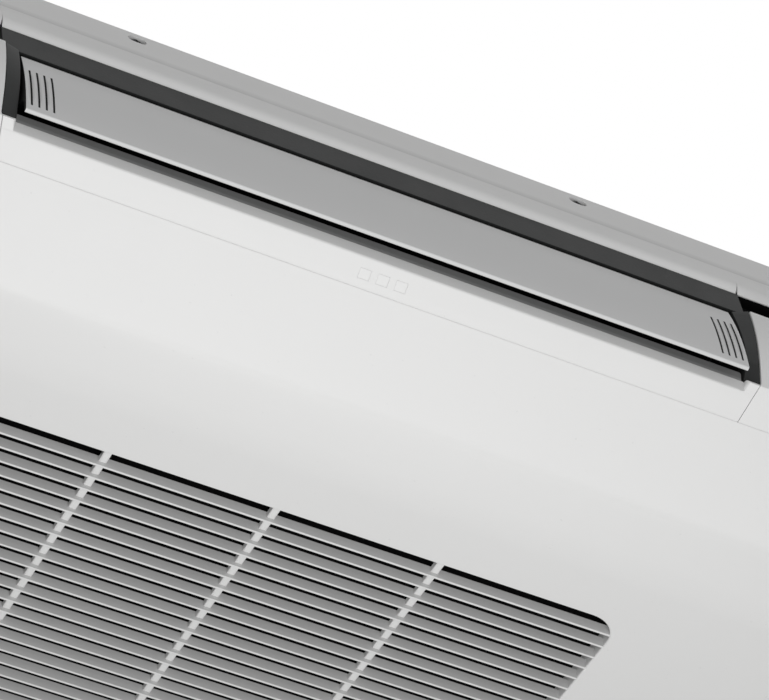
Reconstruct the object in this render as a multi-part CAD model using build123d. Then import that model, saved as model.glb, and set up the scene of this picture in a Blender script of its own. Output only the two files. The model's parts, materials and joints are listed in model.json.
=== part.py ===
from build123d import *
import math
import os

# Floor ceiling air conditioner, hung under a ceiling. Millimetres, +X right, +Y rear, +Z up.
# The origin is the centre of the flat ceiling side. The air outlet faces -Y and the intake faces down.

# Overall casing
half_width = 435.0
unit_height = 235.0
wall = 2.5
seam_gap = 0.6
fit_gap = 0.3

# Front outline, as distances from the ceiling face and from the origin plane
front_y = -325.5
front_bulge_drop = 145.0
front_bulge_radius = 175.6
front_corner_drop = 158.96
rim_bottom_drop = 59.0
rim_crease_y = -293.0
rim_crease_drop = 33.0
rim_top_y = -280.0
chamfer_angle = 38.4
chamfer_soft_radius = 90.0
rear_corner_radius = 40.0

# Rolled sides and corners in plan
side_roll_width = 40.0
side_roll_rise = 30.0
side_roll_radius = 105.0
side_edge_radius = 20.0
plan_front_radius = 45.0
plan_rear_radius = 14.0
form_overlap = 0.15

# Parting lines
panel_seam_drop = 175.0
side_rear_width = 35.0
rim_depth = 40.0

# Groove between the rim ends and the side covers
groove_bottom_drop = 86.0
groove_depth = 34.5
groove_side_depth = 22.0
groove_sheet = 2.0

# Ceiling plate, chassis and hangers
plate_thickness = 2.0
plate_lip = 18.0
chassis_thickness = 2.0
hanger_edge_distance = 45.0
hanger_spacing_y = 320.0
hanger_centre_y = 30.0
hanger_thickness = 3.0
hanger_foot_width = 44.0
hanger_leg = 60.0
slot_length = 26.0
slot_half_width = 6.0
hanger_end_margin = 35.0

# Flap
flap_half_length = 240.0
flap_top = (-308.6, -86.5)
flap_bottom = (-332.4, -154.0)
flap_bulge = 2.5
flap_thickness = 3.0
flap_edge_radius = 1.2
flap_pivot = (-300.0, -115.0)
flap_web_low_drop = 143.0
flap_web_high_drop = 93.0
flap_web_setback = 1.2
flap_web_thickness = 4.0
flap_hub_radius = 7.0
flap_pin_radius = 3.0
flap_pin_clearance = 0.08
flap_pin_engagement = 5.0
flap_end_gap = 2.5
flap_slot_count = 4
flap_slot_pitch = 4.7
flap_slot_width = 1.3
flap_slot_depth = 1.4
flap_slot_margin = 3.6
flap_slot_low_drop = 148.4
flap_slot_high_drop = 106.2

# Air outlet
band_top_y = -301.0
band_bottom_y = -309.2
band_bottom_drop = 84.3
band_rear_y = -292.0
side_frame_width = 9.5
side_frame_inset = 1.0
side_frame_rear_y = -286.0
lip_front_y = -319.0
lip_rear_y = -300.0
lip_height = 8.8
strip_end_width = 9.6
strip_front_y = -320.4
strip_top_drop = 155.0
strip_thickness = 3.0
strip_end_top_drop = 156.0
strip_end_taper = 6.0

# Display windows
window_size = 8.0
window_height = 7.0
window_pitch = 13.0
window_centre_x = 0.0
window_depth = 0.8
window_from_seam = 8.2

# Intake grille
slat_pitch = 12.0
slat_count = 34
slat_thickness = 1.6
slat_height = 7.1
slat_offset = 11.8
rib_count = 3
rib_end_extra = 13.0
rib_width = 5.0
rib_recess = 3.0
rib_height = 4.0
intake_centre_x = 3.0
intake_side_margin = 15.0
intake_front_margin = 66.7
intake_rear_margin = 76.6
intake_corner_radius = 20.0
collar_wall = 3.0
collar_height = 11.0

# Air filter and its rails
filter_thickness = 3.0
filter_overlap = 7.0
filter_frame_width = 10.0
filter_rail_width = 6.0
filter_rail_height = 6.0

# Duct, coil and vanes
duct_sheet = 2.0
duct_roof_rise = 18.0
coil_thickness = 44.0
coil_lean = 60.0
coil_front_y = -150.0
coil_top_drop = 14.0
coil_end_gap = 8.0
coil_end_thickness = 2.0
coil_end_margin = 3.0
pan_thickness = 5.0
pan_floor_gap = 24.5
pan_front_drop = 152.0
pan_knee_y = -240.0
pan_knee_drop = 168.0
pan_rear_reach = 92.0
pan_wall_height = 12.0
vane_count = 12
vane_end_margin = 43.0
vane_thickness = 1.6
vane_front_y = -232.0
vane_depth = 46.0
vane_angle = 12.0
link_radius = 2.0

# Service openings in the rear panel
pipe_hole_radius = 32.0
cable_hole_radius = 12.0
service_edge_distance = 105.0
service_drop = 110.0

# Rim screw dimples
screw_centre_x = -6.0
screw_x = 153.3
screw_dimple_length = 12.5
screw_dimple_width = 8.0
screw_dimple_depth = 5.0
screw_boss_wall = 1.5
screw_dimple_setback = 9.0

far = 1000.0

# Places that follow from the sizes above
outlet_half_length = flap_half_length + flap_end_gap + side_frame_width
lip_half_length = outlet_half_length - strip_end_width
coil_half_length = outlet_half_length - coil_end_gap
intake_half_length = outlet_half_length - intake_side_margin
side_roll_start = half_width - side_roll_width
side_rear_start = half_width - side_rear_width
hanger_x = half_width - hanger_edge_distance
service_x = half_width - service_edge_distance
rim_rear_y = rim_top_y + rim_depth
chamfer_start_y = front_y + (unit_height - front_corner_drop) / math.tan(math.radians(chamfer_angle))
intake_front_y = chamfer_start_y + intake_front_margin
intake_depth = slat_pitch * slat_count + slat_offset - slat_thickness
intake_rear_y = intake_front_y + intake_depth
intake_centre_y = (intake_front_y + intake_rear_y) / 2
rear_y = intake_rear_y + intake_rear_margin
panel_inside_z = wall - unit_height
rib_spacing = 2 * (intake_half_length - rib_end_extra) / (rib_count + 1)
coil_bottom_drop = unit_height - wall - pan_floor_gap - pan_thickness
pan_rear_y = coil_front_y + pan_rear_reach
vane_pitch = 2 * (outlet_half_length - vane_end_margin) / (vane_count - 1)
chassis_front_y = side_frame_rear_y


def chamfer_z(y):
    """Height of the sloped underside at a distance from the middle."""
    return -unit_height + (chamfer_start_y - y) * math.tan(math.radians(chamfer_angle))


def bulge_y(z):
    """Front outline of the casing at a height above the bulge's fullest point."""
    rise = z + front_bulge_drop
    return front_y + front_bulge_radius - math.sqrt(front_bulge_radius**2 - rise**2)


def box(x0, x1, y0, y1, z0, z1):
    low = (min(x0, x1), min(y0, y1), min(z0, z1))
    high = (max(x0, x1), max(y0, y1), max(z0, z1))
    size = [b - a for a, b in zip(low, high)]
    middle = [(a + b) / 2 for a, b in zip(low, high)]
    return Pos(*middle) * Box(*size)


def side_profile(inset):
    """Casing outline in the Y-Z plane, moved inwards by inset."""
    rim_z = -rim_bottom_drop
    rim_y = bulge_y(rim_z)
    mid_z = (rim_z - front_bulge_drop) / 2
    front = ThreePointArc((front_y, -front_bulge_drop), (bulge_y(mid_z), mid_z), (rim_y, rim_z))
    upper = Polyline((rim_y, rim_z), (rim_crease_y, -rim_crease_drop), (rim_top_y, 0), (rear_y, 0),
                     (rear_y, -unit_height), (chamfer_start_y, -unit_height),
                     (front_y, chamfer_z(front_y)), (front_y, -front_bulge_drop))
    face = make_face(front + upper)
    rear_corner = face.vertices().sort_by_distance((rear_y, -unit_height))[0]
    face = fillet(rear_corner, rear_corner_radius)
    bend = face.vertices().sort_by_distance((chamfer_start_y, -unit_height))[0]
    face = fillet(bend, chamfer_soft_radius)
    return offset(face, amount=-inset, kind=Kind.INTERSECTION) if inset else face


def cross_profile(inset):
    """Casing outline in the X-Z plane, moved inwards by inset and open at the top."""
    slope = math.atan2(side_roll_rise, half_width - side_roll_start)
    wall_x = half_width - inset
    shoulder_z = side_roll_rise - unit_height + inset * math.tan(math.pi / 4 - slope / 2)
    floor_z = inset - unit_height - form_overlap
    roll_x = side_roll_start - inset * math.tan(slope / 2)
    right = [(wall_x, far), (wall_x, shoulder_z), (roll_x, floor_z)]
    left = [(-x, z) for x, z in reversed(right)]
    face = make_face(Polyline(*right, *left, close=True))
    corners = ((roll_x, floor_z, side_roll_radius), (wall_x, shoulder_z, side_edge_radius))
    for corner_x, corner_z, radius in corners:
        for side in (-1, 1):
            corner = face.vertices().sort_by_distance((side * corner_x, corner_z))[0]
            face = fillet(corner, radius - inset)
    return face


def plan_profile(inset):
    """Casing outline seen from above, moved inwards by inset."""
    half = half_width - inset + form_overlap
    front, rear = front_y + inset - form_overlap, rear_y - inset + form_overlap
    face = Pos(0, (front + rear) / 2) * Rectangle(2 * half, rear - front)
    for corner_y, radius in ((front, plan_front_radius), (rear, plan_rear_radius)):
        for side in (-1, 1):
            corner = face.vertices().sort_by_distance((side * half, corner_y))[0]
            face = fillet(corner, radius - inset)
    return face


def casing(inset):
    """Solid of the casing's outer shape, moved inwards by inset."""
    along = extrude(Plane.YZ * side_profile(inset), amount=half_width + 1, both=True)
    across = extrude(Plane.XZ * cross_profile(inset), amount=far, both=True)
    upright = extrude(plan_profile(inset), amount=far, both=True)
    return along & across & upright


outer_form = casing(0)
inner_form = casing(wall)
shell = outer_form - inner_form


def mirrored(piece):
    return mirror(piece, Plane.YZ)


def prism(points, x0, x1):
    """Extrude a Y-Z outline from x0 to x1."""
    face = make_face(Polyline(*points, close=True))
    return Pos(x0, 0, 0) * extrude(Plane.YZ * face, amount=x1 - x0)


def rod(x0, x1, centre, radius):
    """Round bar along X."""
    length = x1 - x0
    return Pos((x0 + x1) / 2, centre[0], centre[1]) * Rot(0, 90, 0) * Cylinder(radius, length)


def intake_prism(margin, z0, z1):
    """Rounded block that stands for the intake opening, grown by margin."""
    outline = RectangleRounded(2 * (intake_half_length + margin), intake_depth + 2 * margin,
                               intake_corner_radius + margin)
    return Pos(intake_centre_x, intake_centre_y, z0) * extrude(outline, amount=z1 - z0)


def intake_panel():
    """Bent underside panel with the rounded grille opening and a collar behind it."""
    skin = shell & box(-far, far, -far, far, -far, -panel_seam_drop)
    collar = intake_prism(collar_wall, panel_inside_z, panel_inside_z + collar_height)
    return skin + collar - intake_prism(0, -far, 0)


def intake_grille():
    """Slats across the opening, joined by ribs."""
    slats = Part()
    for k in range(slat_count):
        y = intake_front_y + slat_offset + slat_pitch * k
        slats += box(-far, far, y, y + slat_thickness, -unit_height, slat_height - unit_height)
    ribs = Part()
    for k in range(rib_count):
        x = intake_centre_x + rib_spacing * (k - (rib_count - 1) / 2)
        low = rib_recess - unit_height
        ribs += box(x - rib_width / 2, x + rib_width / 2, -far, far, low, low + rib_height)
    opening = intake_prism(0, -unit_height, 0)
    return (slats & opening) + (ribs & opening)


filter_z = panel_inside_z + collar_height
filter_half = intake_half_length + filter_overlap
filter_front_y = intake_front_y - filter_overlap
filter_rear_y = intake_rear_y + filter_overlap


def air_filter():
    """Removable filter: a frame with cross bars around a thin mesh."""
    outer = box(-filter_half, filter_half, filter_front_y, filter_rear_y,
                filter_z, filter_z + filter_thickness)
    rim = filter_frame_width
    bay = (2 * filter_half - 3 * rim) / 2
    mesh_sink = filter_thickness / 3
    for side in (-1, 1):
        middle = side * (bay + rim) / 2
        pocket = box(middle - bay / 2, middle + bay / 2, filter_front_y + rim, filter_rear_y - rim,
                     filter_z, filter_z + mesh_sink)
        outer -= pocket + Pos(0, 0, filter_thickness - mesh_sink) * pocket
    return outer


def filter_rail():
    """Rail on the right that the filter slides in."""
    x0 = filter_half + fit_gap
    upright = box(x0, x0 + filter_rail_width, filter_front_y, filter_rear_y,
                  panel_inside_z, filter_z + filter_rail_height)
    hook_z = filter_z + filter_thickness + fit_gap
    hook = box(x0 - filter_rail_width, x0, filter_front_y, filter_rear_y,
               hook_z, filter_z + filter_rail_height)
    return upright + hook


def slot_cutter(x, y):
    """Upright slot that runs along X."""
    outline = SlotOverall(slot_length, 2 * slot_half_width)
    return Pos(x, y, -far / 2) * extrude(outline, amount=far)


def hanger_slots():
    cutters = Part()
    for x in (-hanger_x, hanger_x):
        for side in (-1, 1):
            cutters += slot_cutter(x, hanger_centre_y + side * hanger_spacing_y / 2)
    return cutters


def back_plate():
    """Steel plate against the ceiling, with a turned-down front lip."""
    y0 = rim_rear_y + fit_gap
    half = half_width - wall - fit_gap
    sheet = box(-half, half, y0, rear_y - wall - fit_gap, -plate_thickness, 0)
    lip = box(-outlet_half_length, outlet_half_length, y0, y0 + plate_thickness, -plate_lip, 0)
    corners = sheet.edges().filter_by(Axis.Z).sort_by(Axis.Y)[-2:]
    return fillet(corners, plan_rear_radius) + lip - hanger_slots()


def hanger():
    """Right hanger bracket: a foot under the plate and a leg that carries the chassis end."""
    reach = hanger_spacing_y / 2 + hanger_end_margin
    y0, y1 = hanger_centre_y - reach, hanger_centre_y + reach
    foot = box(hanger_x - hanger_foot_width / 2, hanger_x + hanger_foot_width / 2, y0, y1,
               -plate_thickness - hanger_thickness, -plate_thickness)
    inner = hanger_x - hanger_foot_width / 2
    leg = box(inner, inner + hanger_thickness, y0, y1,
              -plate_thickness - hanger_leg, -plate_thickness)
    return foot + leg - hanger_slots()


def chassis_plate():
    """Right inner steel end plate."""
    x0 = outlet_half_length + fit_gap
    blank = box(x0, x0 + chassis_thickness, chassis_front_y, rear_y - wall - fit_gap,
                panel_inside_z, -plate_thickness)
    return blank & casing(wall)


def rear_panel():
    """Steel rear wall with the pipe and cable openings."""
    wall_sheet = box(-side_rear_start + fit_gap, side_rear_start - fit_gap, rear_y - wall, rear_y,
                     seam_gap - panel_seam_drop, -plate_thickness - fit_gap)
    for x, radius in ((service_x, pipe_hole_radius), (-service_x, cable_hole_radius)):
        cutter = Pos(x, rear_y, -service_drop) * Rot(90, 0, 0) * Cylinder(radius, 4 * wall)
        wall_sheet -= cutter
    return wall_sheet


def screw_block(x, grow, depth):
    """Oblong block that stands square in the leaning face of the rim."""
    run = math.hypot(rim_top_y - rim_crease_y, rim_crease_drop)
    lean = math.degrees(math.atan2(rim_crease_drop, rim_top_y - rim_crease_y))
    along = (run - screw_dimple_setback) / run
    y = rim_crease_y + (rim_top_y - rim_crease_y) * along
    z = -rim_crease_drop * (1 - along)
    outline = SlotOverall(screw_dimple_length + 2 * grow, screw_dimple_width + 2 * grow)
    block = Pos(0, 0, -depth) * extrude(outline, amount=far / 10)
    return Pos(x, y, z) * Rot(lean, 0, 0) * block


def top_rim():
    """Long leaning trim above the outlet, with two deep screw recesses."""
    half = outlet_half_length - fit_gap
    rim = shell & box(-half, half, -far, rim_rear_y, -rim_bottom_drop, far)
    for side in (-1, 1):
        x = screw_centre_x + side * screw_x
        rim += outer_form & screw_block(x, screw_boss_wall, screw_dimple_depth + screw_boss_wall)
        rim -= screw_block(x, 0, screw_dimple_depth)
    return rim


def rim_end():
    """Right end of the rim, which carries the same outline round the corner."""
    x0 = outlet_half_length + fit_gap
    return shell & box(x0, far, -far, rim_rear_y, -rim_bottom_drop, far)


def side_cover():
    """Right moulded cover: curved front, rounded corner and long side wall."""
    low = seam_gap - panel_seam_drop
    inner = outlet_half_length + fit_gap
    edge = Polyline((inner, -groove_bottom_drop), (inner, -strip_end_top_drop),
                    (inner - strip_end_taper, low), (far, low), (far, -groove_bottom_drop), close=True)
    front = extrude(Plane.XZ * make_face(edge), amount=far)
    front &= box(-far, far, -far, rim_rear_y, -far, far)
    back = box(side_rear_start, far, rim_rear_y, far, low, -wall - fit_gap)
    return shell & (front + back)


def groove_channel():
    """Right channel that lines the groove between the rim end and the side cover."""
    sheet = groove_sheet
    back_y = front_y + groove_depth
    side_x = half_width - groove_side_depth
    low, high = -groove_bottom_drop, -rim_bottom_drop
    block = casing(wall + fit_gap) & box(outlet_half_length + fit_gap, far, -far, rim_rear_y,
                                         low - sheet, high + sheet)
    core = box(-far, side_x - sheet, back_y + sheet, far, -far, far)
    opening = box(-far, far, -far, rim_rear_y - sheet, low, high)
    opening -= box(-far, side_x, back_y, far, -far, far)
    return block - core - opening


def strip_outline():
    """Outline of the strip under the outlet: sloped face, upright edge and inner flange."""
    low_z = seam_gap - panel_seam_drop
    slope = math.tan(math.radians(chamfer_angle))
    low_y = chamfer_start_y - (low_z + unit_height) / slope
    top_z = -strip_top_drop
    lift = strip_thickness / math.cos(math.radians(chamfer_angle))
    inner_front = strip_front_y + strip_thickness
    return [(low_y, low_z), (strip_front_y, chamfer_z(strip_front_y)), (strip_front_y, top_z),
            (lip_rear_y, top_z), (lip_rear_y, top_z - strip_thickness),
            (inner_front + lift / slope, top_z - strip_thickness),
            (inner_front, chamfer_z(inner_front) + lift), (low_y + lift / slope, low_z)]


def front_strip():
    """White strip under the outlet, with raised ends beside the lip."""
    middle = prism(strip_outline(), -lip_half_length, lip_half_length)
    low_z = seam_gap - panel_seam_drop
    ends = outer_form & box(-outlet_half_length, outlet_half_length, -far, lip_rear_y,
                            low_z, -strip_end_top_drop)
    ends -= box(-lip_half_length, lip_half_length, -far, far, -far, far)
    strip = middle + ends
    for side in (-1, 1):
        taper = Polyline((outlet_half_length - strip_end_taper, low_z), (outlet_half_length + far, low_z),
                         (outlet_half_length, -strip_end_top_drop), close=True)
        cutter = extrude(Plane.XZ * make_face(taper), amount=far, both=True)
        strip -= cutter if side > 0 else mirrored(cutter)
    return strip - display_windows(0)


def display_windows(clearance=0.05):
    """Three small windows let into the strip's sloped face."""
    slope = math.radians(chamfer_angle)
    low_z = seam_gap - panel_seam_drop
    low_y = chamfer_start_y - (low_z + unit_height) / math.tan(slope)
    y = low_y - window_from_seam * math.cos(slope)
    z = low_z + window_from_seam * math.sin(slope)
    lenses = Part()
    for k in (-1, 0, 1):
        lens = Box(window_size - 2 * clearance, window_height - 2 * clearance, window_depth,
                   align=(Align.CENTER, Align.CENTER, Align.MIN))
        lenses += Pos(window_centre_x + k * window_pitch, y, z) * Rot(-chamfer_angle, 0, 0) * lens
    return lenses


def outlet_lip():
    """Dark lower lip of the outlet."""
    low = -strip_top_drop
    return box(-lip_half_length + fit_gap, lip_half_length - fit_gap, lip_front_y, lip_rear_y,
               low, low + lip_height)


def outlet_band():
    """Dark band along the top of the outlet."""
    high, low = -rim_bottom_drop - fit_gap, -band_bottom_drop
    return prism([(band_top_y, high), (band_bottom_y, low), (band_rear_y, low), (band_rear_y, high)],
                 -outlet_half_length, outlet_half_length)


def outlet_side():
    """Right dark side frame with the flap's bearing."""
    x0 = outlet_half_length - side_frame_width
    blank = box(x0, outlet_half_length, -far, side_frame_rear_y,
                fit_gap - pan_front_drop, -band_bottom_drop - fit_gap)
    blank += box(x0, outlet_half_length, -far, lip_rear_y, -strip_end_top_drop, fit_gap - pan_front_drop)
    bearing = rod(x0 - 1, outlet_half_length + 1, flap_pivot, flap_pin_radius + flap_pin_clearance)
    return (casing(side_frame_inset) & blank) - bearing


def flap_outline():
    """Curved blade outline between its outer and inner arcs."""
    (y0, z0), (y1, z1) = flap_top, flap_bottom
    length = math.hypot(y1 - y0, z1 - z0)
    out = ((z1 - z0) / length, (y0 - y1) / length)
    middle = ((y0 + y1) / 2, (z0 + z1) / 2)

    def moved(point, distance):
        return (point[0] + out[0] * distance, point[1] + out[1] * distance)

    outer = ThreePointArc(flap_top, moved(middle, flap_bulge), flap_bottom)
    inner_top = moved(flap_top, -flap_thickness)
    inner_bottom = moved(flap_bottom, -flap_thickness)
    inner = ThreePointArc(inner_top, moved(middle, flap_bulge - flap_thickness), inner_bottom)
    face = make_face(outer + Line(flap_bottom, inner_bottom) + inner + Line(inner_top, flap_top))
    return fillet(face.vertices(), flap_edge_radius)


def flap_grooves():
    """Grooves near both ends of the blade, cut from the front."""
    (y0, z0), (y1, z1) = flap_top, flap_bottom
    grooves = Part()
    for side in (-1, 1):
        for k in range(flap_slot_count):
            x = side * (flap_half_length - flap_slot_margin - k * flap_slot_pitch)
            grooves += box(x - flap_slot_width / 2, x + flap_slot_width / 2, -far, y0 + far / 10,
                           -flap_slot_low_drop, -flap_slot_high_drop)
    blade = extrude(Plane.YZ * flap_outline(), amount=flap_half_length, both=True)
    return grooves & (blade - Pos(0, flap_slot_depth, 0) * blade)


def chord_y(z):
    """Straight line from the blade's top to its bottom, at a height."""
    share = (z - flap_top[1]) / (flap_bottom[1] - flap_top[1])
    return flap_top[0] + share * (flap_bottom[0] - flap_top[0])


def flap():
    """Outlet flap: curved blade, end webs, hubs and pins in one moulding."""
    blade = extrude(Plane.YZ * flap_outline(), amount=flap_half_length, both=True)
    blade -= flap_grooves()
    x1 = flap_half_length
    x0 = x1 - flap_web_thickness
    pivot_y, pivot_z = flap_pivot
    root_half = flap_hub_radius
    low, high = -flap_web_low_drop, -flap_web_high_drop
    web = prism([(pivot_y, pivot_z + root_half), (pivot_y, pivot_z - root_half),
                 (chord_y(low) + flap_web_setback, low), (chord_y(pivot_z), pivot_z),
                 (chord_y(high) + flap_web_setback, high)], x0, x1)
    pin_end = outlet_half_length - side_frame_width + flap_pin_engagement
    side = web + rod(x0, x1, flap_pivot, flap_hub_radius) + rod(x1, pin_end, flap_pivot, flap_pin_radius)
    return blade + side + mirrored(side)


def roof_rear_y():
    """Where the duct roof ends, just ahead of the coil's end plates."""
    return coil_face_y(-band_bottom_drop + duct_roof_rise) - coil_end_margin - fit_gap


def duct_roof():
    """Upper wall of the air duct."""
    z0 = -band_bottom_drop
    z1 = z0 + duct_roof_rise
    y1 = roof_rear_y()
    points = [(band_rear_y, z0), (y1, z1), (y1, z1 + duct_sheet), (band_rear_y, z0 + duct_sheet)]
    return prism(points, -outlet_half_length, outlet_half_length)


def coil_face_y(z):
    """Front face of the leaning coil at a height."""
    height = coil_bottom_drop - coil_top_drop
    return coil_front_y + coil_lean * (z + coil_bottom_drop) / height


def coil():
    """Leaning fin block behind the duct."""
    low, high = -coil_bottom_drop, -coil_top_drop
    points = [(coil_face_y(low), low), (coil_face_y(low) + coil_thickness, low),
              (coil_face_y(high) + coil_thickness, high), (coil_face_y(high), high)]
    return prism(points, -coil_half_length, coil_half_length)


def coil_end():
    """Right end plate of the coil, which ties it to the chassis."""
    low, high = -coil_bottom_drop, -plate_thickness
    m = coil_end_margin
    points = [(coil_face_y(low) - m, low), (coil_face_y(low) + coil_thickness, low),
              (coil_face_y(high) + coil_thickness, high), (coil_face_y(high) - m, high)]
    plate = prism(points, coil_half_length, coil_half_length + coil_end_thickness)
    tab_y = coil_face_y(low) + coil_thickness / 4
    tab = box(coil_half_length, outlet_half_length + fit_gap, tab_y, tab_y + coil_thickness / 2,
              low + coil_thickness / 2, low + coil_thickness)
    return plate + tab


def drain_pan():
    """Duct floor and drip tray under the coil."""
    t = pan_thickness
    low = -coil_bottom_drop
    points = [(lip_rear_y, -pan_front_drop), (pan_knee_y, -pan_knee_drop), (coil_front_y, low),
              (pan_rear_y - t, low), (pan_rear_y - t, low + pan_wall_height),
              (pan_rear_y, low + pan_wall_height),
              (pan_rear_y, low - t), (coil_front_y, low - t), (pan_knee_y, -pan_knee_drop - t),
              (lip_rear_y, -pan_front_drop - t)]
    return prism(points, -outlet_half_length, outlet_half_length)


def pan_top_z(y):
    """Top of the duct floor in front of the coil."""
    if y < pan_knee_y:
        share = (y - lip_rear_y) / (pan_knee_y - lip_rear_y)
        return -pan_front_drop + share * (pan_front_drop - pan_knee_drop)
    share = (y - pan_knee_y) / (coil_front_y - pan_knee_y)
    return -pan_knee_drop + share * (pan_knee_drop - coil_bottom_drop)


def roof_under_z(y):
    """Underside of the duct roof."""
    return -band_bottom_drop + duct_roof_rise * (y - band_rear_y) / (roof_rear_y() - band_rear_y)


def vertical_vanes():
    """Row of upright vanes across the duct, each turned a little."""
    y0, y1 = vane_front_y, vane_front_y + vane_depth
    outline = [(y0, roof_under_z(y0)), (y0, pan_top_z(y0)), (y1, pan_top_z(y1)), (y1, roof_under_z(y1))]
    vane = prism(outline, -vane_thickness / 2, vane_thickness / 2)
    row = Part()
    for k in range(vane_count):
        x = vane_pitch * (k - (vane_count - 1) / 2)
        pivot_y = (y0 + y1) / 2
        row += Pos(x, pivot_y, 0) * Rot(0, 0, vane_angle) * Pos(0, -pivot_y, 0) * vane
    keep = duct_space()
    return row & keep


def duct_space():
    """Air space between roof and floor, used to trim what stands in it."""
    y0, y1 = vane_front_y - vane_depth, vane_front_y + 2 * vane_depth
    points = [(y0, roof_under_z(y0)), (y0, pan_top_z(y0)), (pan_knee_y, pan_top_z(pan_knee_y)),
              (y1, pan_top_z(y1)), (y1, roof_under_z(y1))]
    return prism(points, -outlet_half_length, outlet_half_length)


def vane_link():
    """Thin bar that runs behind the vanes and ties them."""
    y = vane_front_y + vane_depth + link_radius
    z = (roof_under_z(y) + pan_top_z(y)) / 2
    reach = vane_pitch * vane_count / 2
    return rod(-reach, reach, (y, z), link_radius)


pieces = {
    "back_plate": back_plate,
    "rear_panel": rear_panel,
    "top_rim": top_rim,
    "front_strip": front_strip,
    "display_windows": display_windows,
    "intake_panel": intake_panel,
    "intake_grille": intake_grille,
    "air_filter": air_filter,
    "outlet_band": outlet_band,
    "outlet_lip": outlet_lip,
    "duct_roof": duct_roof,
    "drain_pan": drain_pan,
    "coil": coil,
    "vertical_vanes": vertical_vanes,
    "vane_link": vane_link,
    "flap": flap,
}

paired_pieces = {
    "hanger": hanger,
    "chassis_plate": chassis_plate,
    "rim_end": rim_end,
    "side_cover": side_cover,
    "groove_channel": groove_channel,
    "outlet_side": outlet_side,
    "coil_end": coil_end,
    "filter_rail": filter_rail,
}


def main():
    os.makedirs("parts", exist_ok=True)
    for name, make in pieces.items():
        export_step(make(), f"parts/{name}.step")
    for name, make in paired_pieces.items():
        right = make()
        export_step(right, f"parts/{name}_right.step")
        export_step(mirrored(right), f"parts/{name}_left.step")


main()
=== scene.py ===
"""Looks of a ceiling-hung air conditioner: its finishes, moulded skins and small fittings."""
import json
import logging
import math
from dataclasses import dataclass, field
from enum import Enum
from typing import Any, Callable, Iterable, Mapping, Optional, Sequence, Union

import bmesh
import bpy
from mathutils import Matrix, Quaternion, Vector


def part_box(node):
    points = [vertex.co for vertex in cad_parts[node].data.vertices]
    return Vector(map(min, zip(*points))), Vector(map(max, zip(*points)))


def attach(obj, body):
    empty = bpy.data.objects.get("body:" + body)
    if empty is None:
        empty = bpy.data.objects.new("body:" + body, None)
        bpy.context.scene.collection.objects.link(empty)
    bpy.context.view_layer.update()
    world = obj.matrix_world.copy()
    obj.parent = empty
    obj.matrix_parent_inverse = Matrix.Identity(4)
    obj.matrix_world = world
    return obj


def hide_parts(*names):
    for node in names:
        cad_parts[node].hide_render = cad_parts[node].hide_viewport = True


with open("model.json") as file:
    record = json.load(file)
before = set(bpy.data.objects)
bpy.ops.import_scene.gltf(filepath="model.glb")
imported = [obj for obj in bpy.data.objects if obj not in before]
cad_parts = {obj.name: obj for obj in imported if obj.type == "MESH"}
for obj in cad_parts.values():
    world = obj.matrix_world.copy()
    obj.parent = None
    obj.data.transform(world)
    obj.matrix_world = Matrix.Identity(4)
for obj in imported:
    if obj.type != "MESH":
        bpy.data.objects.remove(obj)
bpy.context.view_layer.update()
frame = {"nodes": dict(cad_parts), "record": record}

MM = 0.001
LIP_FOOT_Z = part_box("outlet_lip")[0][2]
LOG = logging.getLogger("air_conditioner")

# Over the first a face looks a way, and under the second two places in millimetres are one.
FACING = 0.9
NEAR = 0.1

Colour = tuple[float, float, float]
EdgeTest = Callable[[bmesh.types.BMEdge], bool]


class Body(Enum):
    """Bodies that pieces ride on."""

    CASING = "casing"
    FLAP = "flap"


class Slot(Enum):
    """Material slots of the record."""

    CASING_WHITE = "casing_white"
    OUTLET_DARK = "outlet_dark"
    ZINC_STEEL = "zinc_steel"
    COIL_FINS = "coil_fins"
    FILTER_DARK = "filter_dark"
    PAN_FOAM = "pan_foam"
    LENS_WHITE = "lens_white"


# Shader graphs and finishes.


class Signal:
    """A shader socket that takes part in Python arithmetic."""

    def __init__(self, graph: "Graph", socket: bpy.types.NodeSocket) -> None:
        """Hold a socket.

        Args:
            graph: Node tree that the socket belongs to.
            socket: Output socket to wrap.
        """
        self.graph = graph
        self.socket = socket

    def _math(self, operation: str, first: Any, second: Any = 0.0) -> "Signal":
        """Add one Math node and return its result."""
        return self.graph.node("ShaderNodeMath", {"operation": operation}, {0: first, 1: second})

    def __add__(self, other: Any) -> "Signal":
        """Sum of two values."""
        return self._math("ADD", self, other)

    __radd__ = __add__

    def __sub__(self, other: Any) -> "Signal":
        """Difference of two values."""
        return self._math("SUBTRACT", self, other)

    def __rsub__(self, other: Any) -> "Signal":
        """Difference with the plain number first."""
        return self._math("SUBTRACT", other, self)

    def __mul__(self, other: Any) -> "Signal":
        """Product of two values."""
        return self._math("MULTIPLY", self, other)

    __rmul__ = __mul__

    def __gt__(self, other: Any) -> "Signal":
        """One where the value is larger, else zero."""
        return self._math("GREATER_THAN", self, other)

    def wave(self) -> "Signal":
        """Sine of the value."""
        return self._math("SINE", self)


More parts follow.
